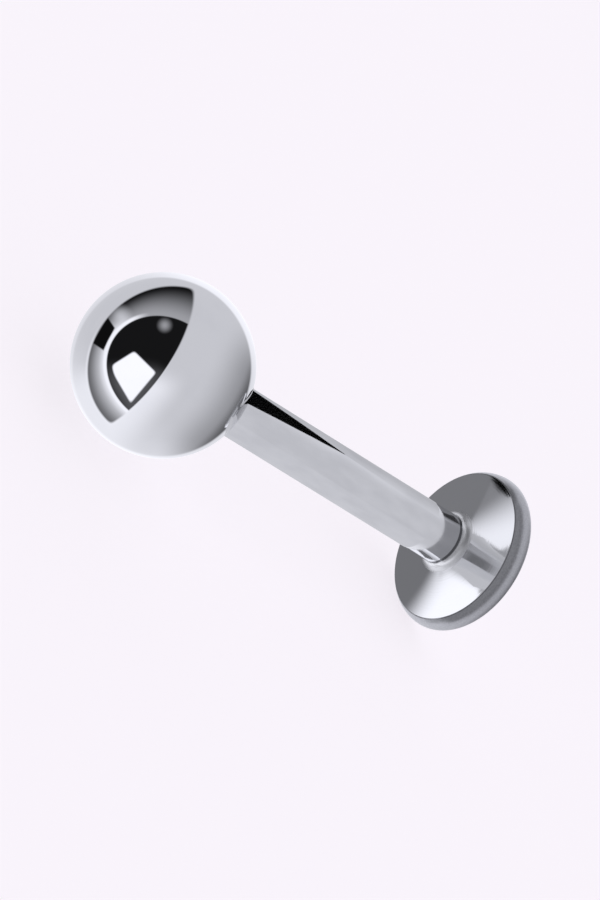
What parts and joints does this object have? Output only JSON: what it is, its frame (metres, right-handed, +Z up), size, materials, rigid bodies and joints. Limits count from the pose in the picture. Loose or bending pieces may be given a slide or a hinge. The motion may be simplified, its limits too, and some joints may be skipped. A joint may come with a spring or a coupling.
{
  "type": "labret stud",
  "caption": "Steel labret stud with a straight round bar, a shallow coned disc soldered to one end and a polished ball that screws onto the other.",
  "frame": {"origin": "bottom centre of the bounding box, on the surface that the stud lies on", "axes": "+X along the stud from the ball to the disc, +Z up; the bar leans 0.68 degrees down towards the disc, which is a little smaller than the ball"},
  "size_m": [0.0122, 0.004, 0.004],
  "materials": {
    "post_steel": "satin bar and rim, polished disc face",
    "ball_steel": "mirror polished"
  },
  "bodies": {
    "post": {"post": "post_steel"},
    "ball": {"ball": "ball_steel"}
  },
  "joints": [
    {"name": "ball_unscrew", "type": "slide", "parent": "post", "child": "ball", "axis": [-0.9999, 0, 0.0119], "range_m": [0, 0.0022]}
  ]
}
